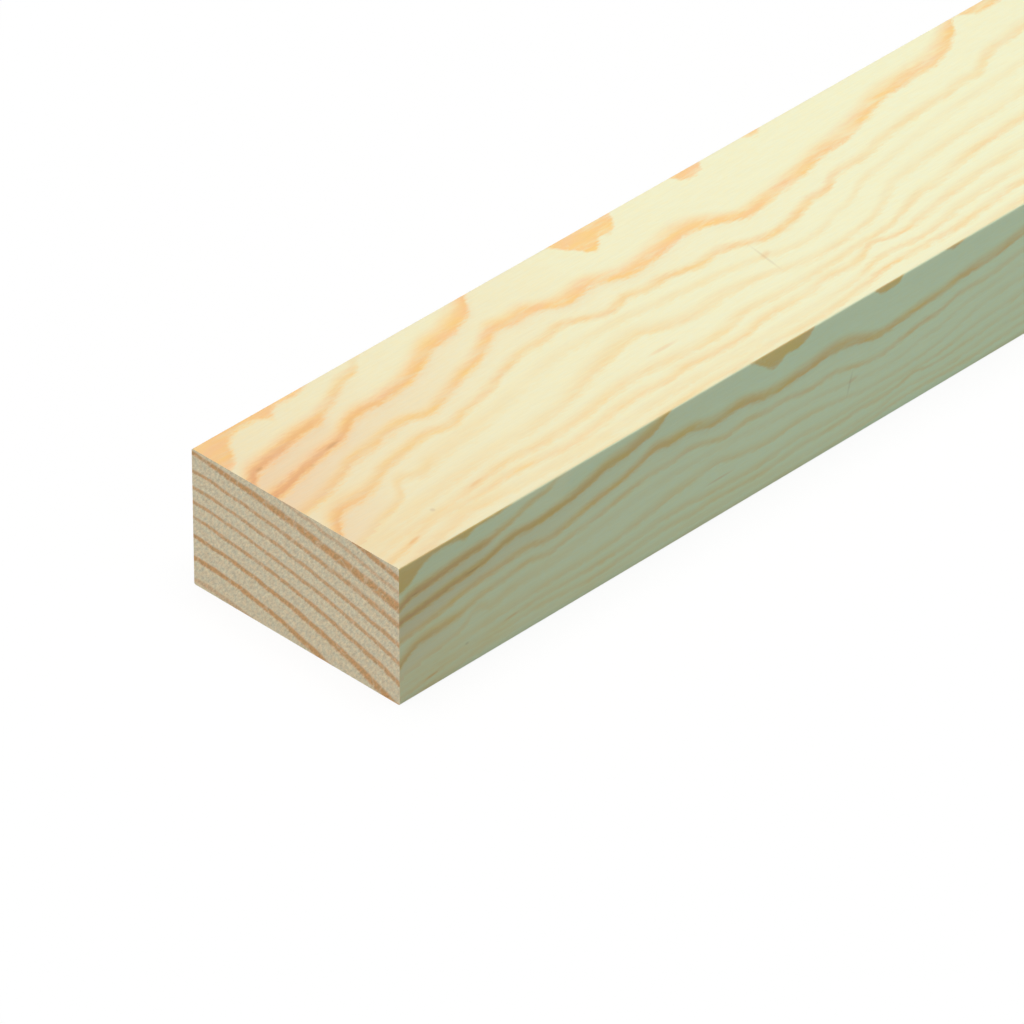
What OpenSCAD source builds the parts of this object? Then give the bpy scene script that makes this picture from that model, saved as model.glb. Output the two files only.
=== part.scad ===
// Planed square-edge softwood plank: one sawn length of solid timber, planed on its
// four long faces, with lightly eased long arrises and square sawn ends.
// It lies flat on a broad face. The origin is under its middle, +X runs along the
// length, +Y across the width and +Z up through the thickness. Sizes are in millimetres.

/* [Section] */
// Finished width of the two broad faces, arris to arris
plank_width = 44; // [20:1:200]
// Finished thickness between the two broad faces
plank_thickness = 25; // [10:1:75]
// Radius of the easing along each of the four long arrises
arris_radius = 0.3; // [0.1:0.05:3]

/* [Length] */
// Length between the two sawn ends
plank_length = 900; // [300:10:4800]

/* [Hidden] */
// Pale sapwood colour of the planed faces
sapwood = [0.95, 0.92, 0.77];
// Sides of the full circles that round the arrises
arris_sides = 64;

// Planed cross-section, width along X and thickness along Y, standing on the X axis:
// two crossed rectangles leave a square notch at each corner, and a circle of the
// easing radius fills each notch.
module planed_section() {
    flat_width = plank_width - 2 * arris_radius;
    flat_thickness = plank_thickness - 2 * arris_radius;
    translate([0, plank_thickness / 2]) {
        square([plank_width, flat_thickness], center = true);
        square([flat_width, plank_thickness], center = true);
        for (side = [-1, 1], level = [-1, 1])
            translate([side * flat_width / 2, level * flat_thickness / 2])
                circle(r = arris_radius, $fn = arris_sides);
    }
}

// The plank is its section carried straight along +X from one sawn end to the other.
module plank() {
    color(sapwood)
        translate([-plank_length / 2, 0, 0])
            rotate([90, 0, 90])
                linear_extrude(height = plank_length)
                    planed_section();
}

plank();
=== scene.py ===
"""Planed softwood plank: planed long faces and sawn ends in pale pine, lying on a white studio floor."""
import math
from collections import namedtuple

import bpy
import numpy as np
from mathutils import Matrix, Vector


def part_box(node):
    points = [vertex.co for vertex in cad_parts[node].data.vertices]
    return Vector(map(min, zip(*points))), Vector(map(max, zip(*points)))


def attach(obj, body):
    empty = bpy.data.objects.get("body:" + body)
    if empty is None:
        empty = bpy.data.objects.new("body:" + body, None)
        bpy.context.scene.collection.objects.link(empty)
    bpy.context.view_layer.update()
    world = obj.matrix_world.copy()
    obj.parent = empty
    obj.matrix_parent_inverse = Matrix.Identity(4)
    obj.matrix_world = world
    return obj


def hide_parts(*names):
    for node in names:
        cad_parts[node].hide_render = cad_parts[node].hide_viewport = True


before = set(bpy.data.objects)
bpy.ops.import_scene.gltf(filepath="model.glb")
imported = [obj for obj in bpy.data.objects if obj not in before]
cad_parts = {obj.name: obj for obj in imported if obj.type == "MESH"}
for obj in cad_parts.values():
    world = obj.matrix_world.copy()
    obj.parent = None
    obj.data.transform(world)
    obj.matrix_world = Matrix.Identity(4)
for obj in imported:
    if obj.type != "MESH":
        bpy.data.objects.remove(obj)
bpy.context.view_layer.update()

# Sizes of the plank in millimetres, from the frame, and the radius of its eased arrises
MM = 0.001
low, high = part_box("plank")
LENGTH, WIDTH, THICKNESS = [side / MM for side in high - low]
NEAR_END = low.x / MM
TOP = high.z / MM
ARRIS_RADIUS = 0.3

# Growth lines on the planed faces. Each is drawn through points (millimetres along from the near end,
# millimetres across from the far edge of the broad face). Its tone is rows of (along, strength from
# 0 to 1, breadth in millimetres of the soft side of the latewood band). The other side is narrower.
GrowthLine = namedtuple("GrowthLine", "path tone")
DRAWN_LENGTH = 172
DRAWN_LINES = (
    GrowthLine(
        path=((0, -40), (900, -40)),
        tone=((0, 0.95, 30), (900, 0.95, 30)),
    ),
    GrowthLine(
        path=((0, 7.6), (1.5, 7), (3, 5.4), (4.5, 3), (6.5, 1.5), (10, 1), (12.5, 1.3), (14, 2.4),
              (15.5, 0.9), (18, 0.5), (22, 0.3), (24, -0.6), (30, -6), (50, -20)),
        tone=((0, 0.95, 30), (30, 0.95, 30)),
    ),
    GrowthLine(
        path=((0, 13.6), (2, 11.8), (5, 11), (9, 10.2), (13, 9.2), (17, 8.7), (19, 8.2), (20.5, 7.3),
              (24, 5.8), (28, 3.5), (32, 2.2), (34, 0), (40, -4), (60, -40)),
        tone=((0, 0.97, 4), (17, 0.97, 3.4), (21, 0.7, 2.6), (31, 0.6, 2), (34, 0.2, 2), (37, 0.95, 9)),
    ),
    GrowthLine(
        path=((0, 18.3), (6, 16.9), (12, 15.4), (18, 14.2), (22, 12), (25, 11.4), (28, 11.8),
              (32, 11.2), (36, 10.5), (40, 8.9), (44, 7), (48, 6.5), (52, 5), (55, 3.4), (57, 0.6),
              (60, -2.5), (72, -2.5), (75, -0.4), (78, 3.4), (80, 5.8), (81.5, 5.2), (83.2, 3.6),
              (85.5, 3.9), (88, 2), (89.5, -0.4), (93, -2.2), (100, -2.2), (102.3, -0.4), (103.6, 1.6),
              (105, 2.2), (107, 1.9), (108.4, 1.2), (109.6, -1.2), (117, -1.5), (120.5, 1.1),
              (122.5, 0), (125, -2.5)),
        tone=((0, 1, 3.4), (18, 1, 3), (30, 1, 3.4), (38, 1, 4), (46, 0.97, 4.7), (57, 0.95, 5.5),
              (72, 0.95, 6), (75, 0.97, 30)),
    ),
    GrowthLine(
        path=((0, 23.9), (5, 22.9), (10, 21.4), (15, 19.5), (20, 18.8), (25, 17.8), (28, 17.7),
              (31, 18.8), (36, 17.6), (42, 15.4), (47, 13.9), (51, 11.9), (54, 10.2), (57.5, 11),
              (62, 10.8), (66, 12.9), (74, 12.5), (78, 14.2), (87, 13.8), (94, 12.7), (99, 14.2),
              (103, 15.9), (109, 15.4), (115, 14.4), (118, 14.2), (122, 13), (131, 11.8), (137, 10),
              (142, 8.3), (150, 7.7), (158, 6.6), (162, 4.6), (165, 2.2), (166.8, -0.2), (168, -0.2),
              (169.5, 1.2), (172, 1.8)),
        tone=((0, 0.6, 2.4), (30, 0.7, 2.4), (50, 0.78, 3), (58, 0.93, 4), (80, 0.97, 4), (97, 0.95, 5),
              (104, 0.9, 3), (125, 0.8, 4), (172, 0.82, 4.5)),
    ),
    GrowthLine(
        path=((0, 32), (1.5, 30), (4, 27.8), (8, 27.2), (12, 26.4), (16, 24.6), (22, 23.3), (28, 22.5),
              (31.5, 23.6), (36, 22.2), (41, 21.3), (48, 18.8), (53, 17.4), (58, 17.4), (62, 16.6),
              (65, 17.6), (69, 19.4), (75, 18.4), (79, 19.2), (82, 18.9), (88, 20.2), (94, 19.8),
              (101, 22.3), (105, 22.6), (109, 21.5), (114, 20), (117, 20), (121, 18), (128, 17.6),
              (137, 15.8), (147, 14.8), (151, 14.8), (154, 13.9), (158, 14.3), (162, 12.2),
              (172, 10.2)),
        tone=((0, 0.85, 5), (8, 0.75, 4), (14, 0.62, 2.6), (40, 0.56, 2), (80, 0.58, 2), (104, 0.64, 2),
              (120, 0.62, 1.8), (130, 0.35, 2.2), (172, 0.5, 2.6)),
    ),
    GrowthLine(
        path=((0, 36), (5, 34), (10, 32.6), (13.5, 31), (15.5, 28.4), (17, 28), (19, 29.4), (23, 28.2),
              (31, 27.6), (43, 25), (56, 22), (64, 21.8), (80, 23.2), (95, 25.1), (100, 26.4),
              (105, 27.2), (109, 26.8), (113, 25.4), (118, 24.4), (122, 22.4), (130, 20.8), (150, 18.2),
              (172, 16.4)),
        tone=((0, 0.25, 2), (12, 0.45, 2), (18, 0.4, 3), (28, 0.28, 4), (45, 0.12, 3), (60, 0.2, 2),
              (95, 0.26, 1.6), (105, 0.22, 1.4), (120, 0.3, 1.3), (135, 0.14, 2), (172, 0.15, 2)),
    ),
    GrowthLine(
        path=((0, 37.8), (8, 36), (18, 34.2), (25, 33.2), (40, 32.5), (46, 31.8), (53, 30), (57, 28.7),
              (62, 27.6), (69, 26.6), (71.5, 27.7), (80, 29.4), (84, 28.7), (95, 29.6), (99, 30.7),
              (106, 31.2), (118, 29.6), (122, 28), (126, 26), (131, 25), (150, 23.2), (172, 22)),
        tone=((0, 0.2, 3), (25, 0.33, 3), (45, 0.33, 3), (55, 0.45, 4), (72, 0.45, 4), (84, 0.42, 3),
              (95, 0.34, 1.8), (118, 0.36, 1.4), (126, 0.24, 2.6), (172, 0.3, 3)),
    ),
    GrowthLine(
        path=((0, 39.4), (5, 38.4), (12, 38), (19, 37.6), (24, 36.9), (29, 36.1), (40, 36.3),
              (47, 35.8), (55, 34.6), (61, 34.2), (66, 34.8), (80, 35), (84, 34), (91, 34.3),
              (110, 33.8), (118, 33.3), (122, 32), (126, 30.8), (131, 30.4), (142, 28.5), (156, 27.7),
              (172, 27)),
        tone=((0, 0.3, 2), (24, 0.48, 2), (60, 0.45, 2.5), (80, 0.4, 2.5), (100, 0.34, 1.8),
              (118, 0.48, 1.2), (130, 0.3, 2.2), (145, 0.5, 2.5), (172, 0.5, 2.5)),
    ),
    GrowthLine(
        path=((0, 42), (4, 41.2), (8, 40), (12, 39.1), (22, 39.2), (28, 38.6), (34, 39.1), (41, 39.9),
              (47, 39.2), (54, 38), (59, 37.9), (63, 38.4), (67, 37.7), (72, 38.2), (80, 38.3),
              (84, 37.4), (96, 37.1), (100, 36.3), (104, 36.8), (108.5, 36.1), (111.5, 34.7),
              (115, 35.9), (118, 36), (122, 35.4), (136, 33.5), (148, 33), (172, 32)),
        tone=((0, 0.48, 2), (8, 0.5, 2), (14, 0.36, 2), (28, 0.5, 2), (80, 0.5, 2.2), (104, 0.5, 1.8),
              (112, 0.56, 1.2), (118, 0.54, 1.2), (130, 0.42, 2), (145, 0.28, 2.5)),
    ),
    GrowthLine(
        path=((0, 45.5), (6, 43.6), (10, 42.8), (14, 41.7), (18, 40.9), (22, 41.2), (36, 42),
              (52, 41.6), (60, 41), (80, 41), (97, 40.5), (104, 39.8), (108, 38.6), (112, 38.4),
              (118, 39), (123, 38.6), (128, 37.6), (144, 36.6), (172, 36)),
        tone=((0, 0.5, 2.5), (18, 0.46, 2.5), (26, 0.2, 2), (62, 0.26, 2), (90, 0.16, 2),
              (106, 0.42, 1.2), (118, 0.48, 1.2), (130, 0.26, 2), (172, 0.25, 2)),
    ),
    GrowthLine(
        path=((0, 48.5), (20, 45.6), (40, 44.6), (60, 43.9), (66, 43.3), (72, 43.3), (80, 42.9),
              (90, 43), (97, 42.5), (103, 41.9), (107, 41.2), (124, 41.2), (137, 39.8), (150, 40),
              (172, 39.6)),
        tone=((0, 0.3, 2), (66, 0.48, 2), (75, 0.38, 2), (96, 0.4, 1.8), (110, 0.6, 1.2),
              (125, 0.52, 1.6), (172, 0.4, 2)),
    ),
    GrowthLine(
        path=((0, 52), (40, 48.2), (80, 46.2), (120, 44.9), (134, 43.6), (142, 43.2), (172, 43)),
        tone=((0, 0.35, 2), (172, 0.4, 2)),
    ),
)
# Past the drawn stretch the lines run on by formula, with new ones coming in at the near edge. Sines of
# a new line's number scatter its spacing and breadth in mm, and its strength.
Scatter = namedtuple("Scatter", "base spread step start")
LATER_LINES = 18
LATER_SPACING = Scatter(3.9, 0.9, 1.7, 0)
LATER_STRENGTH = Scatter(0.3, 0.55, 2.1, 0.4)
LATER_BREADTH = Scatter(2.6, 1.2, 1.3, 0)
LATER_RISE = 0.06
GRAIN_SLOPE = -0.055
LEAST_GAP = 0.8
# Waves along the later stretch: size, millimetres a radian, and shift from line to line. All come in
# over the ease length, and the sway more slowly still, mm.
Wave = namedtuple("Wave", "size length shift")
SWAY = Wave(5, 83, 0)
RIPPLES = (Wave(0.7, 17, 0.4), Wave(0.35, 6.1, 0.7))
WANE = Wave(0.25, 31, 1.9)
SWAY_START = 60
EASE_LENGTH = 40

# Warmth of the resinous wood, which fades over this length from the near end and later comes back in part
WARMTH_LENGTH = 60
LATER_WARMTH = Wave(0.2, 61, 0)
LATER_WARMTH_START = 150
LATER_WARMTH_ONSET = 100

# A full-strength band is darkest this far before its drawn edge, mm
PEAK_BEFORE_EDGE = 0.45
# On the narrow faces bands under the full breadth are weaker, and the thinnest have this share of strength
FULL_BREADTH = 3
THIN_STRENGTH = 0.55
# Breadths at which bands count as narrow and as broad, and how a band falls past its darkest place, mm
NARROW_BAND = 4
BROAD_BAND = 8
FALL_SHARE = 0.75
LEAST_FALL = 0.9
COOL_FALL = 1.1
# Dark core of broad bands, strengths that bring in the blush past a band, and tan of bands in cool wood
BROAD_CORE = 0.35
BLUSH_FROM = 0.55
BLUSH_FULL = 0.95
COOL_TAN = 0.4

# Small marks on the planed faces, placed as the growth lines are: centre, half sizes, turn in degrees
Mark = namedtuple("Mark", "along across half_length half_width turn strength colour")
SPECK_BROWN = "#A8794A"
DASH_ORANGE = "#E8B070"
MARKS = (
    Mark(3.3, 11.1, 1.1, 0.45, -8, 0.28, SPECK_BROWN),
    Mark(9.7, 16, 0.7, 0.45, 0, 0.15, SPECK_BROWN),
    Mark(15.4, 14.3, 2.2, 0.5, -6, 0.28, SPECK_BROWN),
    Mark(6.7, 40.4, 2, 0.5, -12, 0.55, DASH_ORANGE),
    Mark(14.2, 36.8, 0.6, 0.6, 0, 0.22, SPECK_BROWN),
    Mark(23.6, 36.5, 2.2, 0.55, -8, 0.35, DASH_ORANGE),
    Mark(68.5, 31.7, 4, 0.6, 0, 0.3, DASH_ORANGE),
    Mark(97.3, 25.8, 0.35, 5.4, 9, 0.16, SPECK_BROWN),
    Mark(97.9, 25.2, 1.8, 0.9, -20, 0.25, DASH_ORANGE),
)

# Growth rings on the sawn ends: depth below the top face at the far edge, strength, and the line's
# thickness at the far and near edges, mm
EndRing = namedtuple("EndRing", "depth strength far_thickness near_thickness")
END_RINGS = (
    EndRing(-12, 0.5, 1, 1),
    EndRing(-8, 0.5, 1, 1),
    EndRing(-4.8, 1, 1, 1.5),
    EndRing(-2, 0.45, 0.5, 0.6),
    EndRing(0.75, 1, 0.9, 2.7),
    EndRing(4, 0.8, 0.65, 0.95),
    EndRing(7, 0.8, 0.65, 0.9),
    EndRing(9.7, 0.8, 0.7, 0.8),
    EndRing(12.6, 0.85, 0.7, 0.9),
    EndRing(16, 0.95, 0.8, 1.3),
    EndRing(20.1, 1, 1, 1.3),
    EndRing(24.1, 0.5, 0.8, 0.9),
    EndRing(28, 0.8, 1, 1),
)

# Slope and curve of a ring that is q mm deep at the far edge, each as (at q = 0, change with q squared)
RING_TILT = (0.062, -0.0001)
RING_BOW = (0.0019, 0.000009)
RING_STEPS = 12
# A ring's colour is full inside the first and gone outside the second of these shares of its thickness
RING_INNER = 0.2
RING_OUTER = 0.75

# Mesh steps, mm: fine near the drawn stretch, coarser beyond it
FINE_STRETCH = 180
FINE_STEP = 0.9
COARSE_STEP = 2.4
ACROSS_STEP = 0.8
ARC_STEPS = 2
# Decimals of a millimetre to which points are welded, and degrees from which an edge is sharp
WELD_DIGITS = 4
SHARP_ANGLE = 40
# Margin of the bake map, and the share of its length that the fine stretch takes
BAKE_MARGIN = 0.004
NEAR_BAKE_SHARE = 0.43
# Relief of the latewood and of the saw marks, and the margin and lengths over which it fades out, mm
LATEWOOD_RELIEF = 0.05
SAW_RELIEF = 0.12
EDGE_MARGIN = 1
EDGE_FADE = 2
END_FADE = 3
# Ridges of the saw marks: weight, and radians a millimetre up and across
SAW_RIDGES = ((1, 2.9, 0.5), (0.6, 5.3, -0.9), (0.5, 0, 3.7))

# Noise patterns in the wood: size in mm along, across and up, lean in degrees about the plank's length, and
# the noise's detail and roughness. Single fibres are 0.03 mm wide, too fine to show, so the streaks, flecks
# and clumps are drawn 0.25 mm and more wide.
Pattern = namedtuple("Pattern", "size lean detail roughness")
BUNDLES = Pattern((1.4, 0.45, 0.45), 0, 3, 0.6)
PATCHES = Pattern((7, 1.6, 1.6), 0, 3, 0.6)
HUES = Pattern((8, 3, 3), 0, 2, 0.5)
STREAKS = Pattern((5, 0.25, 0.25), 0, 2, 0.55)
FLECKS = Pattern((1.4, 0.45, 0.45), 0, 2, 0.6)
CLUMPS = Pattern((0.5, 0.9, 0.4), 130, 2, 0.75)
DRIFT = Pattern((5, 5, 5), 0, 1, 0.5)
RAYS = Pattern((50, 3, 4), 0, 1, 0.5)
SPOTS = Pattern((0.9, 0.9, 0.9), 0, 1, 0.5)
# How far they move the edges of bands and rings at most, and how far a strong band's pinkish halo goes, mm
FEATHER = 0.9
ROUGH_EDGE = 0.2
SLOW_EDGE = 0.3
HALO_LENGTH = 3.2
# Power of a band's shape that gives its thin dark core
CORE_SHARPNESS = 3
# Shares of red, green and blue left by warm and cool flecks, and by the painted cool shade on the strong
# bands of the narrow faces
WARM_FLECK = (1.0, 0.985, 0.94, 1.0)
COOL_FLECK = (0.98, 1.0, 1.03, 1.0)
NARROW_FACE_PAINTED_SHADE = (0.85, 0.97, 1.0, 1.0)

# Camera of the photograph, matched to the plank's edges: degrees, mm, pixels, and its range in metres
CAMERA_AZIMUTH = -45.288
CAMERA_ELEVATION = 35.424
CAMERA_DISTANCE = 1677.5
AIM_RIGHT = 16.678
AIM_UP = 28.79
FOCAL_PIXELS = 11282
IMAGE_PIXELS = 1024
SENSOR_WIDTH = 36
VIEW_RANGE = 100

# Light on each side of the plank, as shares of a plain white level, and the lamps' spread in degrees
AMBIENT = (0.295, 0.33, 0.34)
LAMP_SPREAD = 40
LAMPS = (
    ("overhead_lamp", (0, 0, -1), (0.668, 0.632, 0.622)),
    ("edge_lamp", (0, 1, 0), (0.045, 0.185, 0.178)),
    ("end_lamp", (1, 0, 0), (0.585, 0.51, 0.455)),
)
# The floor's size in metres, the light it throws back, and how much of its look is an even glow
FLOOR_SIZE = 60
FLOOR_BOUNCE = (0.28, 0.3, 0.31)
FLOOR_GLOW_SHARE = 0.88
WHITE = (1.0, 1.0, 1.0, 1.0)


def linear(hex_colour):
    """A hex sRGB colour as linear red, green, blue and alpha."""
    srgb = np.array([int(hex_colour[i:i + 2], 16) for i in (1, 3, 5)]) / 255
    light = np.where(srgb <= 0.04045, srgb / 12.92, ((srgb + 0.055) / 1.055) ** 2.4)
    return (*light.tolist(), 1.0)


def add_node(tree, kind, sockets=None, **settings):
    """Adds a node, sets its properties and fills its inputs: a socket is linked, any other value is set."""
    node = tree.nodes.new(kind)
    for name, value in settings.items():
        setattr(node, name, value)
    for name, value in (sockets or {}).items():
        if isinstance(value, bpy.types.NodeSocket):
            tree.links.new(value, node.inputs[name])
        else:
            node.inputs[name].default_value = value
    return node


def smooth_through(path, along):
    """Cubic Hermite curve through the path's points, level past its ends.

    Each point's slope is the mean of the slopes on its two sides, the shorter side counting for more.
    """
    x, y = np.array(path, float).T
    slope = np.gradient(y, x)
    i = np.clip(np.searchsorted(x, along) - 1, 0, len(x) - 2)
    step = x[i + 1] - x[i]
    t = np.clip((along - x[i]) / step, 0, 1)
    start = (1 + 2 * t) * (1 - t) ** 2 * y[i] + t * (1 - t) ** 2 * step * slope[i]
    end = t ** 2 * (3 - 2 * t) * y[i + 1] + t ** 2 * (t - 1) * step * slope[i + 1]
    return start + end


def growth_lines(along):
    """Distance across, strength and breadth of every growth line at each place along, one column a line.

    The drawn lines go through their points. Later lines start beyond them at scattered places. Past the drawn
    stretch all of them slope towards the far edge, sway slowly together and ripple a little each, and
    their strength wanes and returns. A line stays at least the least gap before the next one.
    """
    later = np.arange(LATER_LINES)
    apart, strong, broad = [
        scatter.spread * np.sin(scatter.step * later + scatter.start)
        for scatter in (LATER_SPACING, LATER_STRENGTH, LATER_BREADTH)
    ]
    first = DRAWN_LINES[-1].path[-1][1]
    start = first + LATER_SPACING.base * (later + 1) + apart
    drawn = np.stack([smooth_through(line.path, along) for line in DRAWN_LINES], 1)
    start_later = np.broadcast_to(start, (len(along), LATER_LINES))
    rise = np.maximum(DRAWN_LENGTH - along, 0)[:, None] * LATER_RISE
    lines = np.concatenate([drawn, start_later + rise], 1)
    number = np.arange(lines.shape[1])
    past = np.maximum(along - DRAWN_LENGTH, 0)[:, None]
    ease = 1 - np.exp(-past / EASE_LENGTH)
    turn = past / SWAY.length
    sway = SWAY.size * (np.sin(turn) - turn * np.exp(-past / SWAY_START))
    ripple = sum(wave.size * np.sin(past / wave.length + wave.shift * number) for wave in RIPPLES)
    lines = lines + GRAIN_SLOPE * past + (sway + ripple) * ease
    spread = lines - LEAST_GAP * number
    lines = np.minimum.accumulate(spread[:, ::-1], 1)[:, ::-1] + LEAST_GAP * number
    tones = [np.array(line.tone, float) for line in DRAWN_LINES]
    strength = np.stack([np.interp(along, tone[:, 0], tone[:, 1]) for tone in tones], 1)
    breadth = np.stack([np.interp(along, tone[:, 0], tone[:, 2]) for tone in tones], 1)
    later_strength = np.broadcast_to(LATER_STRENGTH.base + np.abs(strong), start_later.shape)
    later_breadth = np.broadcast_to(LATER_BREADTH.base + broad, start_later.shape)
    strength = np.concatenate([strength, later_strength], 1)
    wane = WANE.size * ease * (1 + np.sin(past / WANE.length + WANE.shift * number))
    strength = strength * (1 - wane)
    return lines, strength, np.concatenate([breadth, later_breadth], 1)


def next_line(lines, row, across):
    """Number of the first growth line past each place across, at its row along."""
    return np.clip((across[..., None] >= lines[row]).sum(-1), 1, lines.shape[1] - 1)


def between_lines(lines, strength, breadth, row, across, after):
    """Ring number, gap, strength and breadth at places across that lie before the lines numbered after.

    The ring number and the strength go evenly from one line's to the next one's. The breadth is the
    next line's.
    """
    start, end = lines[row, after - 1], lines[row, after]
    share = (across - start) / (end - start)
    strong = strength[row, after - 1] * (1 - share) + strength[row, after] * share
    return after + share, end - start, np.clip(strong, 0, 1), breadth[row, after]


def planed_grain(along, across, edge_tan, flip):
    """Grain, band, tint and plan at the corners of a planed face's cells, and the bands' height.

    They are (ring, gap, strength), (rise and fall in mm, depth of the core), (warmth, blush, edge tan and
    painted shade) and (along, across, 0). All corners of a cell count from the same line, so nothing blends
    across a line. A band is darkest a little before its drawn edge, the more so the stronger it is. Thin
    bands are weaker on the narrow faces, in proportion. Warmth fades from the near end, where the wood is
    more resinous, by a factor e in each warmth length, and rises and falls slowly later. Dark cores are for
    strong bands in warm wood, most in narrow ones. Blush is for the wood past strong narrow bands. Tan is for
    the strong bands of the narrow faces, most where they are warm, and the same depth sets the painted cool
    shade laid on them. The height is given at the grid's points.
    """
    lines, strength, breadth = growth_lines(along)
    if edge_tan:
        strength = strength * np.clip(THIN_STRENGTH + (1 - THIN_STRENGTH) * breadth / FULL_BREADTH, 0, 1)
    grown = (lines - PEAK_BEFORE_EDGE * strength ** 2, strength, breadth)
    numbers = np.indices((len(along), len(across)))
    row, column = [grid_corners(axis, flip).reshape(-1, 4) for axis in numbers]
    place = across[column]
    after = next_line(grown[0], row[:, 0], place.mean(1))[:, None]
    ring, gap, strong, broad = between_lines(*grown, row, place, after)
    onset = np.clip((along - LATER_WARMTH_START) / LATER_WARMTH_ONSET, 0, 1)
    later = LATER_WARMTH.size * onset * (1 + np.sin(along / LATER_WARMTH.length))
    warmth = (np.exp(-along / WARMTH_LENGTH) + later)[row]
    strong_before, broad_before = strength[row, after - 1], breadth[row, after - 1]
    narrow_before, narrow_after = [
        np.clip((BROAD_BAND - size) / (BROAD_BAND - NARROW_BAND), 0, 1) for size in (broad_before, broad)
    ]
    narrow = narrow_before + (narrow_after - narrow_before) * np.clip(ring - after, 0, 1)
    core = (BROAD_CORE + (1 - BROAD_CORE) * narrow) * warmth ** 2 * strong ** 3
    blush = narrow_before * np.clip((strong_before - BLUSH_FROM) / (BLUSH_FULL - BLUSH_FROM), 0, 1)
    fall = np.clip(FALL_SHARE * broad_before, LEAST_FALL, COOL_FALL + warmth)
    tan = edge_tan * strong ** 3 * (COOL_TAN + (1 - COOL_TAN) * warmth)
    grain = np.stack([ring, gap, strong], -1)
    band = np.stack([broad, fall, core], -1)
    tint = np.stack([warmth, blush, tan], -1)
    plan = np.stack([along[row], place, np.zeros_like(ring)], -1)

    row = np.arange(len(along))[:, None]
    after = next_line(grown[0], row, across[None])
    ring, gap, strong, broad = between_lines(*grown, row, across[None], after)
    height = strong * np.clip(1 - (np.ceil(ring) - ring) * gap / broad, 0, 1)
    return [values.reshape(-1, 3) for values in (grain, band, tint, plan)], height


def end_rings(across, depth):
    """Grain and band of a sawn end at places across from the far edge and depth from the top, mm.

    They are (ring, gap, strength) and (line thickness, 0, 0). A ring that is q deep at the far edge runs at
    depth q + tilt y + bow y squared, y across, with tilt and bow set by q: deeper rings lie nearer the
    pith and curve more. q is found by repeated substitution.
    """
    at_edge = depth.copy()
    for _ in range(RING_STEPS):
        tilt, bow = [base + change * at_edge ** 2 for base, change in (RING_TILT, RING_BOW)]
        at_edge = depth - tilt * across - bow * across ** 2
    rings = EndRing(*np.array(END_RINGS, float).T)
    number = np.interp(at_edge, rings.depth, np.arange(len(rings.depth)))
    gap = np.interp(at_edge, (rings.depth[1:] + rings.depth[:-1]) / 2, np.diff(rings.depth))
    strength, far_line, near_line = [np.interp(at_edge, rings.depth, value) for value in rings[1:]]
    thickness = far_line + (near_line - far_line) * across / WIDTH
    none = np.zeros_like(gap)
    return np.stack([number, gap, strength], -1), np.stack([thickness, none, none], -1)


def arris_profile(width):
    """Places across a planed face and their inset below it, from one arris's middle to the other's.

    Each arris is an arc of 45 degrees on this face. The flat between the arcs has even steps.
    """
    flat = width - 2 * ARRIS_RADIUS
    angle = np.radians(np.linspace(45, 0, ARC_STEPS + 1))[:-1]
    arc = flat / 2 + ARRIS_RADIUS * np.sin(angle)
    arc_inset = ARRIS_RADIUS * (1 - np.cos(angle))
    even = np.linspace(-flat / 2, flat / 2, round(flat / ACROSS_STEP) + 1)
    places = np.concatenate([-arc, even, arc[::-1]])
    inset = np.concatenate([arc_inset, np.zeros_like(even), arc_inset[::-1]])
    return places, inset


def length_steps():
    """Places along the plank from the near end: even fine steps, then even coarse ones."""
    fine = np.linspace(0, FINE_STRETCH, round(FINE_STRETCH / FINE_STEP) + 1)
    rest = LENGTH - FINE_STRETCH
    coarse = np.linspace(FINE_STRETCH, LENGTH, round(rest / COARSE_STEP) + 1)
    return np.concatenate([fine, coarse[1:]])


def grid_corners(grid, flip):
    """The four corners of every cell of a grid, in order round the cell, turned round if flip is true."""
    corners = [grid[:-1, :-1], grid[1:, :-1], grid[1:, 1:], grid[:-1, 1:]]
    if flip:
        corners.reverse()
    return np.stack(corners, 2).reshape(-1, *grid.shape[2:])


def bake_along(along):
    """Place along the bake map: the near stretch, which is seen closest, has a larger share."""
    return np.interp(along, (0, FINE_STRETCH, LENGTH), (BAKE_MARGIN, NEAR_BAKE_SHARE, 1 - BAKE_MARGIN))


# How each planed face lies: its outward normal, its direction across, its width, the plank's depth behind
# it, the shift of its growth lines along the plank and whether they run backwards, how tan its bands are and
# how much painted cool shade lies on them, and its rows of the bake map. The narrow faces cut the rings
# closer together, so their bands are darker.
PlanedFace = namedtuple("PlanedFace", "normal across width depth shift backwards edge_tan bake_rows")
PLANED_FACES = (
    PlanedFace((0, 0, 1), (0, -1, 0), WIDTH, THICKNESS, 0, False, 0, (0.004, 0.284)),
    PlanedFace((0, -1, 0), (0, 0, -1), THICKNESS, WIDTH, 0, False, 0.6, (0.288, 0.498)),
    PlanedFace((0, 0, -1), (0, 1, 0), WIDTH, THICKNESS, 120, False, 0, (0.502, 0.692)),
    PlanedFace((0, 1, 0), (0, 0, -1), THICKNESS, WIDTH, 0, True, 0.6, (0.696, 0.846)),
)
END_ROWS = (0.85, 0.996)


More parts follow.
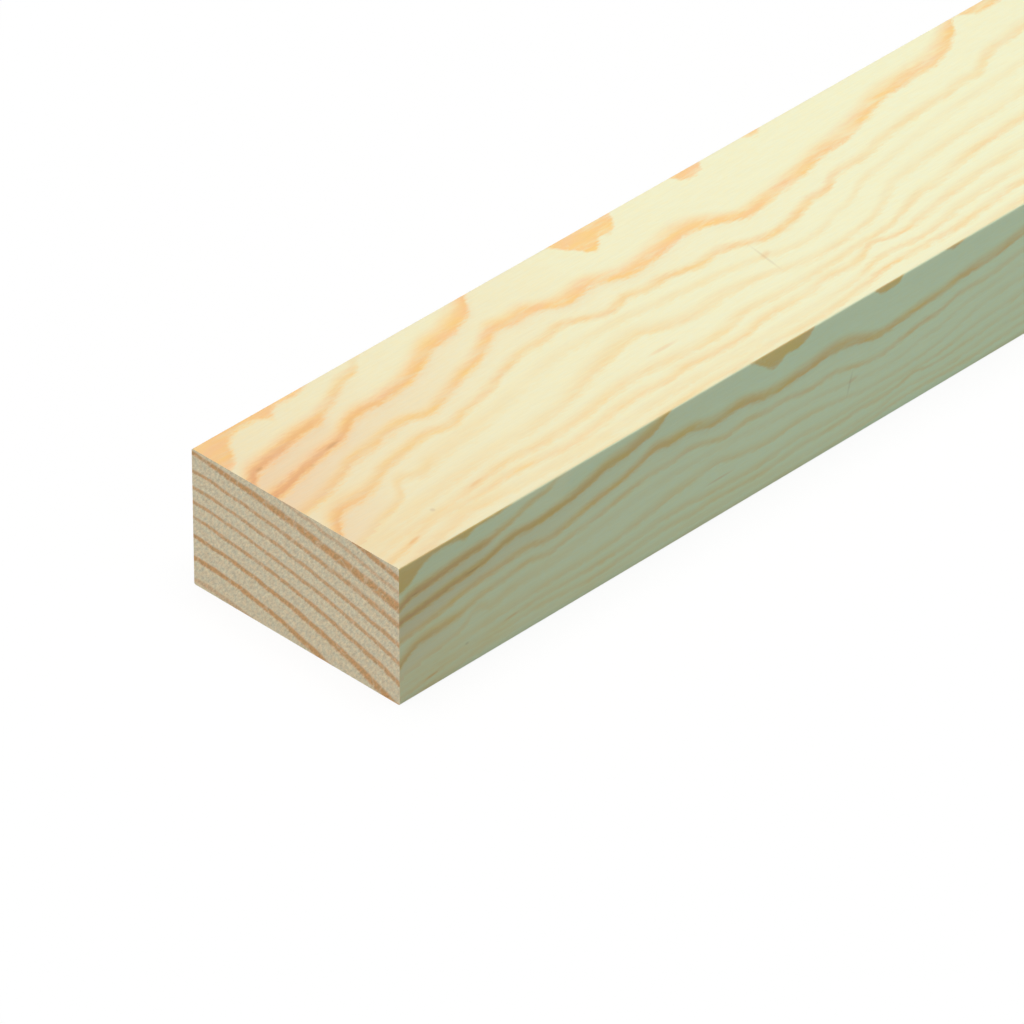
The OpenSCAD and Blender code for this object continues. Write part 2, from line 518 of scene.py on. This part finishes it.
def planed_patch(face):
    """Corners of the cells of one planed face: points in mm, grain, band, tint, plan and bake map places.

    A point lies the face's half depth out along the normal, less the arris inset and the relief. The
    latewood bands stand proud of the softer earlywood by a few hundredths of a millimetre.
    """
    along = length_steps()
    places, inset = arris_profile(face.width)
    across = (places + face.width / 2) * WIDTH / face.width
    run = LENGTH - along if face.backwards else along + face.shift
    normal = np.array(face.normal, float)
    direction = np.array(face.across, float)
    flip = np.cross((1, 0, 0), direction) @ normal < 0
    grown, height = planed_grain(run, across, face.edge_tan, flip)
    edge_fade = np.clip((face.width / 2 - EDGE_MARGIN - np.abs(places)) / EDGE_FADE, 0, 1)
    end_fade = np.clip(np.minimum(along, LENGTH - along) / END_FADE, 0, 1)
    relief = LATEWOOD_RELIEF * (1 - height) * end_fade[:, None] * edge_fade[None, :]
    centre = np.array([NEAR_END, 0, TOP - THICKNESS / 2])
    points = (
        centre
        + along[:, None, None] * np.array([1.0, 0, 0])
        + places[None, :, None] * direction
        + (face.depth / 2 - inset - relief)[..., None] * normal
    )
    rows = np.interp(places, (-face.width / 2, face.width / 2), face.bake_rows)
    bake = np.stack(np.broadcast_arrays(bake_along(along)[:, None], rows[None, :]), -1)
    return [grid_corners(points, flip), *grown, grid_corners(bake, flip)]


def end_patch(outward):
    """Corners of the cells of one sawn end: points in mm, grain, band, no tint or plan, and bake places.

    The rim is the planed faces' own. The inside has faint saw marks, the sum of three sine ridges across
    the end, fading to nothing at the rim.
    """
    y_places, y_inset = arris_profile(WIDTH)
    z_places, z_inset = arris_profile(THICKNESS)
    y, z = [axis.copy() for axis in np.meshgrid(-y_places, -z_places, indexing="ij")]
    y[0], y[-1] = WIDTH / 2 - z_inset, z_inset - WIDTH / 2
    z[:, 0], z[:, -1] = THICKNESS / 2 - y_inset, y_inset - THICKNESS / 2
    rim = np.minimum(WIDTH / 2 - np.abs(y), THICKNESS / 2 - np.abs(z))
    marks = sum(weight * np.sin(upward * z + sideways * y) for weight, upward, sideways in SAW_RIDGES)
    reach = sum(weight for weight, upward, sideways in SAW_RIDGES)
    rim_fade = np.clip((rim - ARRIS_RADIUS) / EDGE_FADE, 0, 1)
    depth = SAW_RELIEF * (0.5 + 0.5 * marks / reach) * rim_fade
    x = outward * (LENGTH / 2 - depth) + NEAR_END + LENGTH / 2
    points = np.stack([x, y, z + TOP - THICKNESS / 2], -1)
    grain, band = end_rings(WIDTH / 2 - y, THICKNESS / 2 - z)
    first_column = 0 if outward < 0 else 0.5
    columns = (first_column + BAKE_MARGIN, first_column + 0.5 - BAKE_MARGIN)
    bake_y = np.interp(y, (-WIDTH / 2, WIDTH / 2), columns)
    bake_z = np.interp(z, (-THICKNESS / 2, THICKNESS / 2), END_ROWS)
    bake = np.stack([bake_y, bake_z], -1)
    none = np.zeros_like(points)
    return [grid_corners(values, outward < 0) for values in (points, grain, band, none, none, bake)]


# Names of the vectors that the skin has at each corner of its cells
GROWN_VECTORS = ("grain", "band", "tint", "plan")


def plank_mesh():
    """The plank's whole skin: four planed grids and two end grids, welded where their rims meet."""
    patches = [planed_patch(face) for face in PLANED_FACES]
    patches += [end_patch(outward) for outward in (-1, 1)]
    corners, *vectors, bake = [np.concatenate(parts) for parts in zip(*patches)]
    rounded = np.round(corners, WELD_DIGITS)
    _, first, number = np.unique(rounded, axis=0, return_index=True, return_inverse=True)
    mesh = bpy.data.meshes.new("plank_skin")
    mesh.vertices.add(len(first))
    mesh.vertices.foreach_set("co", (corners[first] * MM).ravel())
    mesh.loops.add(len(corners))
    mesh.loops.foreach_set("vertex_index", number.ravel())
    mesh.polygons.add(len(corners) // 4)
    mesh.polygons.foreach_set("loop_start", np.arange(0, len(corners), 4))
    mesh.update(calc_edges=True)
    for name, values in zip(GROWN_VECTORS, vectors):
        mesh.attributes.new(name, "FLOAT_VECTOR", "CORNER").data.foreach_set("vector", values.ravel())
    mesh.uv_layers.new(name="OFBake").uv.foreach_set("vector", bake.ravel())
    end_cells = 2 * (len(arris_profile(WIDTH)[0]) - 1) * (len(arris_profile(THICKNESS)[0]) - 1)
    slots = np.zeros(len(corners) // 4, int)
    slots[-end_cells:] = 1
    mesh.polygons.foreach_set("material_index", slots)
    mesh.polygons.foreach_set("use_smooth", np.ones(len(slots), bool))
    mesh.set_sharp_from_angle(angle=math.radians(SHARP_ANGLE))
    mesh.validate()
    return mesh


# Places of the colour sockets on a Mix node, whose number and vector sockets have the same names
MIX_FACTOR, MIX_FIRST, MIX_SECOND, MIX_RESULT = 0, 6, 7, 2


def new_material(name):
    """An empty node material and its tree."""
    material = bpy.data.materials.new(name)
    material.use_nodes = True
    material.node_tree.nodes.clear()
    return material, material.node_tree


def wood_patterns(tree, place, patterns):
    """Noise of each pattern: the place is turned back by the pattern's lean and divided by its size."""
    noises = []
    for pattern in patterns:
        lean = (math.radians(pattern.lean), 0, 0)
        size = [side * MM for side in pattern.size]
        lumps = add_node(
            tree,
            "ShaderNodeMapping",
            {"Vector": place, "Rotation": lean, "Scale": size},
            vector_type="TEXTURE",
        ).outputs[0]
        settings = {"Vector": lumps, "Scale": 1.0, "Detail": pattern.detail, "Roughness": pattern.roughness}
        noises.append(add_node(tree, "ShaderNodeTexNoise", settings).outputs[0])
    return noises


def planed_softwood():
    """Planed pine sapwood, raw: cream earlywood and soft orange latewood bands, sharper on one side.

    The eye sees matt pale cream that turns pinkish past the stronger bands near the end, with fine
    streaks along the grain and a few small brown marks. A band covers the cream by its shape, a smooth
    rise and a faster fall, times its strength.
    """
    material, tree = new_material("planed_pine_sapwood")
    place = add_node(tree, "ShaderNodeTexCoord").outputs["Object"]
    grain, bands, tint, plan = [
        add_node(tree, "ShaderNodeAttribute", attribute_name=name).outputs["Vector"]
        for name in GROWN_VECTORS
    ]
    ring, gap, strength = add_node(tree, "ShaderNodeSeparateXYZ", {0: grain}).outputs
    rise_length, fall_length, core_depth = add_node(tree, "ShaderNodeSeparateXYZ", {0: bands}).outputs
    warmth, blush_depth, tan_and_shade_depth = add_node(tree, "ShaderNodeSeparateXYZ", {0: tint}).outputs
    bundles, patches, hues, streaks, flecks = wood_patterns(
        tree, place, (BUNDLES, PATCHES, HUES, STREAKS, FLECKS)
    )

    # Fibre bundles feather the bands by a few tenths of a millimetre
    feather = add_node(
        tree, "ShaderNodeMapRange", {"Value": bundles, "To Min": -FEATHER, "To Max": FEATHER}
    ).outputs[0]
    feather_share = add_node(tree, "ShaderNodeMath", {0: feather, 1: gap}, operation="DIVIDE").outputs[0]
    feathered = add_node(tree, "ShaderNodeMath", {0: ring, 1: feather_share}, operation="ADD").outputs[0]
    share = add_node(tree, "ShaderNodeMath", {0: feathered}, operation="FRACT").outputs[0]
    behind = add_node(tree, "ShaderNodeMath", {0: share, 1: gap}, operation="MULTIPLY").outputs[0]
    ahead = add_node(tree, "ShaderNodeMath", {0: gap, 1: behind}, operation="SUBTRACT").outputs[0]

    # A band rises over a few millimetres, and falls faster past its darkest place
    rise = add_node(
        tree,
        "ShaderNodeMapRange",
        {"Value": ahead, "From Min": rise_length, "From Max": 0.0},
        interpolation_type="SMOOTHSTEP",
    ).outputs[0]
    fall, halo_fall = [
        add_node(
            tree,
            "ShaderNodeMapRange",
            {"Value": behind, "From Min": 0.0, "From Max": length, "To Min": 1.0, "To Max": 0.0},
            interpolation_type="SMOOTHSTEP",
        ).outputs[0]
        for length in (fall_length, HALO_LENGTH)
    ]
    shape = add_node(tree, "ShaderNodeMath", {0: rise, 1: fall}, operation="MAXIMUM").outputs[0]

    # Past a strong band the wood is pinkish, all the way in warm wood and in a halo in cooler wood
    halo_warmth = add_node(
        tree, "ShaderNodeMapRange", {"Value": warmth, "From Min": 0.1, "From Max": 0.3, "To Max": 0.35}
    ).outputs[0]
    halo = add_node(tree, "ShaderNodeMath", {0: halo_fall, 1: halo_warmth}, operation="MULTIPLY").outputs[0]
    warm_wood = add_node(tree, "ShaderNodeMath", {0: warmth, 1: warmth}, operation="MULTIPLY").outputs[0]
    pink = add_node(tree, "ShaderNodeMath", {0: warm_wood, 1: halo}, operation="ADD").outputs[0]
    blush = add_node(
        tree, "ShaderNodeMath", {0: pink, 1: blush_depth}, operation="MULTIPLY", use_clamp=True
    ).outputs[0]

    # Along the grain the bands come and go in patches
    patch_share = add_node(
        tree,
        "ShaderNodeMapRange",
        {"Value": patches, "From Min": 0.3, "From Max": 0.7, "To Min": 0.5, "To Max": 1.5},
    ).outputs[0]
    strong = add_node(
        tree, "ShaderNodeMath", {0: strength, 1: patch_share}, operation="MULTIPLY", use_clamp=True
    ).outputs[0]
    band = add_node(tree, "ShaderNodeMath", {0: shape, 1: strong}, operation="MULTIPLY").outputs[0]

    # A strong narrow band has a thin dark core, and the strong bands of the narrow faces are tan
    narrowed = add_node(tree, "ShaderNodeMath", {0: shape, 1: CORE_SHARPNESS}, operation="POWER").outputs[0]
    core = add_node(
        tree, "ShaderNodeMath", {0: narrowed, 1: core_depth}, operation="MULTIPLY", use_clamp=True
    ).outputs[0]
    tan = add_node(tree, "ShaderNodeMath", {0: shape, 1: tan_and_shade_depth}, operation="MULTIPLY").outputs[0]

    # Weak latewood is tan, and strong latewood yellow to pinkish orange. Warm wood is a deeper cream
    hue_share = add_node(
        tree, "ShaderNodeMapRange", {"Value": hues, "From Min": 0.35, "From Max": 0.65}
    ).outputs[0]
    strong_latewood = add_node(
        tree,
        "ShaderNodeMix",
        {MIX_FACTOR: hue_share, MIX_FIRST: linear("#FAD085"), MIX_SECOND: linear("#F8CB97")},
        data_type="RGBA",
    ).outputs[MIX_RESULT]
    latewood = add_node(
        tree,
        "ShaderNodeMix",
        {MIX_FACTOR: strength, MIX_FIRST: linear("#EDCE8C"), MIX_SECOND: strong_latewood},
        data_type="RGBA",
    ).outputs[MIX_RESULT]
    colour = add_node(
        tree,
        "ShaderNodeMix",
        {MIX_FACTOR: warmth, MIX_FIRST: linear("#F3F1CC"), MIX_SECOND: linear("#EEDFB9")},
        data_type="RGBA",
    ).outputs[MIX_RESULT]
    fleck_share = add_node(
        tree, "ShaderNodeMapRange", {"Value": flecks, "From Min": 0.3, "From Max": 0.7}
    ).outputs[0]
    fleck_tint = add_node(
        tree,
        "ShaderNodeMix",
        {MIX_FACTOR: fleck_share, MIX_FIRST: WARM_FLECK, MIX_SECOND: COOL_FLECK},
        data_type="RGBA",
    ).outputs[MIX_RESULT]
    streak_shade = add_node(
        tree,
        "ShaderNodeMapRange",
        {"Value": streaks, "From Min": 0.25, "From Max": 0.75, "To Min": 0.98, "To Max": 1.02},
    ).outputs[0]

    # What lies over the cream, in turn: how much of it, its colour and how it is laid
    layers = [
        (blush, linear("#EDD2AD"), "MIX"),
        (band, latewood, "MIX"),
        (tan, linear("#E2B964"), "MIX"),
        (core, linear("#E3A676"), "MIX"),
        # Painted cool shade over the strong bands of the narrow faces, deepest near the end where they are
        # warm
        (tan_and_shade_depth, NARROW_FACE_PAINTED_SHADE, "MULTIPLY"),
        (1.0, fleck_tint, "MULTIPLY"),
        (1.0, streak_shade, "MULTIPLY"),
    ]
    # Small brown specks, dashes and one hairline check across the grain
    for mark in MARKS:
        local = add_node(
            tree,
            "ShaderNodeMapping",
            {
                "Vector": plan,
                "Location": (mark.along, mark.across, 0),
                "Rotation": (0, 0, math.radians(mark.turn)),
                "Scale": (mark.half_length, mark.half_width, 1),
            },
            vector_type="TEXTURE",
        ).outputs[0]
        radius = add_node(tree, "ShaderNodeVectorMath", {0: local}, operation="LENGTH").outputs["Value"]
        inside = add_node(
            tree,
            "ShaderNodeMapRange",
            {"Value": radius, "From Min": 1.0, "From Max": 0.2, "To Max": mark.strength},
            interpolation_type="SMOOTHSTEP",
        ).outputs[0]
        layers.append((inside, linear(mark.colour), "MIX"))
    for cover, layer, blend in layers:
        colour = add_node(
            tree,
            "ShaderNodeMix",
            {MIX_FACTOR: cover, MIX_FIRST: colour, MIX_SECOND: layer},
            data_type="RGBA",
            blend_type=blend,
        ).outputs[MIX_RESULT]

    roughness = add_node(
        tree, "ShaderNodeMapRange", {"Value": band, "To Min": 0.68, "To Max": 0.52}
    ).outputs[0]
    bump = add_node(
        tree, "ShaderNodeBump", {"Height": streaks, "Strength": 0.25, "Distance": 0.05 * MM}
    ).outputs[0]
    wood = add_node(
        tree,
        "ShaderNodeBsdfPrincipled",
        {
            "Base Color": colour,
            "Roughness": roughness,
            "IOR": 1.5,
            "Specular IOR Level": 0.25,
            "Normal": bump,
        },
    ).outputs[0]
    add_node(tree, "ShaderNodeOutputMaterial", {"Surface": wood})
    return material


def sawn_end_grain():
    """Sawn pine end grain: cut fibre ends in speckled beige and grey, with thin brown latewood rings.

    The eye sees a rough matt face, darker than the planed wood, with short breaks in the rings. A ring
    covers the ground by how near its middle is, for its thickness, times its strength.
    """
    material, tree = new_material("sawn_pine_end_grain")
    place = add_node(tree, "ShaderNodeTexCoord").outputs["Object"]
    grain, bands = [
        add_node(tree, "ShaderNodeAttribute", attribute_name=name).outputs["Vector"]
        for name in GROWN_VECTORS[:2]
    ]
    ring, gap, strength = add_node(tree, "ShaderNodeSeparateXYZ", {0: grain}).outputs
    thickness = add_node(tree, "ShaderNodeSeparateXYZ", {0: bands}).outputs[0]
    clumps, drift, rays, spots = wood_patterns(tree, place, (CLUMPS, DRIFT, RAYS, SPOTS))

    # Torn fibre clumps, which all lean one way, roughen the rings' edges, and a slow drift bends them
    rough_edge, slow_edge = [
        add_node(tree, "ShaderNodeMapRange", {"Value": noise, "To Min": -reach, "To Max": reach}).outputs[0]
        for noise, reach in ((clumps, ROUGH_EDGE), (drift, SLOW_EDGE))
    ]
    edge = add_node(tree, "ShaderNodeMath", {0: rough_edge, 1: slow_edge}, operation="ADD").outputs[0]
    edge_share = add_node(tree, "ShaderNodeMath", {0: edge, 1: gap}, operation="DIVIDE").outputs[0]
    shifted = add_node(tree, "ShaderNodeMath", {0: ring, 1: edge_share}, operation="ADD").outputs[0]
    nearest = add_node(tree, "ShaderNodeMath", {0: shifted, 1: 0.5}, operation="PINGPONG").outputs[0]
    distance = add_node(tree, "ShaderNodeMath", {0: nearest, 1: gap}, operation="MULTIPLY").outputs[0]
    outer, inner = [
        add_node(tree, "ShaderNodeMath", {0: thickness, 1: part}, operation="MULTIPLY").outputs[0]
        for part in (RING_OUTER, RING_INNER)
    ]
    line = add_node(
        tree,
        "ShaderNodeMapRange",
        {"Value": distance, "From Min": outer, "From Max": inner},
        interpolation_type="SMOOTHSTEP",
    ).outputs[0]

    # Where wood rays cross the rings, every few millimetres, they are pale for a few tenths of a millimetre
    from_ray = add_node(tree, "ShaderNodeMath", {0: rays, 1: 0.5}, operation="SUBTRACT").outputs[0]
    off_ray = add_node(tree, "ShaderNodeMath", {0: from_ray}, operation="ABSOLUTE").outputs[0]
    ray_share = add_node(
        tree,
        "ShaderNodeMapRange",
        {"Value": off_ray, "From Min": 0.0, "From Max": 0.03, "To Min": 0.6, "To Max": 1.0},
    ).outputs[0]
    strong = add_node(tree, "ShaderNodeMath", {0: strength, 1: ray_share}, operation="MULTIPLY").outputs[0]
    latewood = add_node(tree, "ShaderNodeMath", {0: line, 1: strong}, operation="MULTIPLY").outputs[0]

    # Clumps that stand up are pale and those that are torn out are dark, in cooler and warmer spots. This is
    # the fibres' own speckle together with painted shade in the torn-out hollows and painted light on the
    # standing clumps
    spot_share = add_node(
        tree, "ShaderNodeMapRange", {"Value": spots, "From Min": 0.35, "From Max": 0.65}
    ).outputs[0]
    ground, ring_colour = [
        add_node(
            tree,
            "ShaderNodeMix",
            {MIX_FACTOR: spot_share, MIX_FIRST: linear(cooler), MIX_SECOND: linear(warmer)},
            data_type="RGBA",
        ).outputs[MIX_RESULT]
        for cooler, warmer in (("#E7DEC3", "#ECDCBC"), ("#D8AE7C", "#DDA975"))
    ]
    ringed = add_node(
        tree,
        "ShaderNodeMix",
        {MIX_FACTOR: latewood, MIX_FIRST: ground, MIX_SECOND: ring_colour},
        data_type="RGBA",
    ).outputs[MIX_RESULT]
    clump_speckle_and_shade = add_node(
        tree,
        "ShaderNodeMapRange",
        {"Value": clumps, "From Min": 0.25, "From Max": 0.75, "To Min": 0.77, "To Max": 1.2},
    ).outputs[0]
    speckled = add_node(
        tree,
        "ShaderNodeMix",
        {MIX_FACTOR: 1.0, MIX_FIRST: ringed, MIX_SECOND: clump_speckle_and_shade},
        data_type="RGBA",
        blend_type="MULTIPLY",
    ).outputs[MIX_RESULT]
    bump = add_node(
        tree, "ShaderNodeBump", {"Height": clumps, "Strength": 0.3, "Distance": 0.12 * MM}
    ).outputs[0]
    wood = add_node(
        tree,
        "ShaderNodeBsdfPrincipled",
        {"Base Color": speckled, "Roughness": 0.85, "IOR": 1.5, "Specular IOR Level": 0.2, "Normal": bump},
    ).outputs[0]
    add_node(tree, "ShaderNodeOutputMaterial", {"Surface": wood})
    return material


def seen_directly(tree):
    """1 for camera, glossy and transmission rays, which see the white stage, and 0 for all others."""
    path = add_node(tree, "ShaderNodeLightPath").outputs
    seen = path["Is Camera Ray"]
    for kind in ("Is Glossy Ray", "Is Transmission Ray"):
        seen = add_node(
            tree, "ShaderNodeMath", {0: seen, 1: path[kind]}, operation="ADD", use_clamp=True
        ).outputs[0]
    return seen


def studio_floor():
    """White floor: a wide square under the plank that shows white and throws back little light.

    Most of what is seen of it is an even glow. The rest is matt, so it keeps a faint shadow.
    """
    half = FLOOR_SIZE / 2
    mesh = bpy.data.meshes.new("studio_floor")
    corners = [(-half, -half, 0), (half, -half, 0), (half, half, 0), (-half, half, 0)]
    mesh.from_pydata(corners, [], [(0, 1, 2, 3)])
    floor = bpy.data.objects.new("studio_floor", mesh)
    bpy.context.scene.collection.objects.link(floor)
    floor.location.z = low.z
    material, tree = new_material("white_studio_floor")
    seen = seen_directly(tree)
    colour = add_node(
        tree,
        "ShaderNodeMix",
        {MIX_FACTOR: seen, MIX_FIRST: (*FLOOR_BOUNCE, 1.0), MIX_SECOND: WHITE},
        data_type="RGBA",
    ).outputs[MIX_RESULT]
    matt = add_node(tree, "ShaderNodeBsdfDiffuse", {"Color": colour}).outputs[0]
    glow = add_node(tree, "ShaderNodeEmission", {"Color": WHITE, "Strength": 1.0}).outputs[0]
    share = add_node(
        tree, "ShaderNodeMath", {0: seen, 1: FLOOR_GLOW_SHARE}, operation="MULTIPLY"
    ).outputs[0]
    shown = add_node(tree, "ShaderNodeMixShader", {0: share, 1: matt, 2: glow}).outputs[0]
    add_node(tree, "ShaderNodeOutputMaterial", {"Surface": shown})
    mesh.materials.append(material)


def studio_light():
    """Even light from all round, and a wide soft lamp each from above, before the edge and before the end.

    A lamp of energy pi gives a white face square on to it the level 1.
    """
    world = bpy.data.worlds.new("studio")
    bpy.context.scene.world = world
    world.use_nodes = True
    tree = world.node_tree
    tree.nodes.clear()
    colour = add_node(
        tree,
        "ShaderNodeMix",
        {MIX_FACTOR: seen_directly(tree), MIX_FIRST: (*AMBIENT, 1.0), MIX_SECOND: WHITE},
        data_type="RGBA",
    ).outputs[MIX_RESULT]
    backdrop = add_node(tree, "ShaderNodeBackground", {"Color": colour, "Strength": 1.0}).outputs[0]
    add_node(tree, "ShaderNodeOutputWorld", {"Surface": backdrop})
    for name, direction, level in LAMPS:
        lamp = bpy.data.lights.new(name, "SUN")
        lamp.energy = math.pi * max(level)
        lamp.color = [channel / max(level) for channel in level]
        lamp.angle = math.radians(LAMP_SPREAD)
        lamp_object = bpy.data.objects.new(name, lamp)
        lamp_object.rotation_euler = Vector(direction).to_track_quat("-Z", "Y").to_euler()
        bpy.context.scene.collection.objects.link(lamp_object)


def photograph_camera():
    """Camera at the photograph's angle, aimed beside the near bottom corner of the plank."""
    azimuth, elevation = math.radians(CAMERA_AZIMUTH), math.radians(CAMERA_ELEVATION)
    right = Vector((math.cos(azimuth), math.sin(azimuth), 0))
    back = Vector((
        math.sin(azimuth) * math.cos(elevation),
        -math.cos(azimuth) * math.cos(elevation),
        math.sin(elevation),
    ))
    up = back.cross(right)
    camera = bpy.data.cameras.new("photograph_camera")
    camera.sensor_width = SENSOR_WIDTH
    camera.lens = FOCAL_PIXELS * SENSOR_WIDTH / IMAGE_PIXELS
    camera.clip_end = VIEW_RANGE
    camera_object = bpy.data.objects.new("photograph_camera", camera)
    bpy.context.scene.collection.objects.link(camera_object)
    corner = Vector((low.x, low.y, low.z))
    offset = right * AIM_RIGHT + up * AIM_UP + back * CAMERA_DISTANCE
    turn = Matrix((right, up, back)).transposed().to_4x4()
    camera_object.matrix_world = Matrix.Translation(corner + offset * MM) @ turn
    bpy.context.scene.camera = camera_object


bpy.context.scene.view_settings.view_transform = "Standard"
photograph_camera()
studio_floor()
studio_light()

plank = bpy.data.objects.new("plank_skin", plank_mesh())
bpy.context.scene.collection.objects.link(plank)
plank.data.materials.append(planed_softwood())
plank.data.materials.append(sawn_end_grain())
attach(plank, "root")
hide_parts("plank")
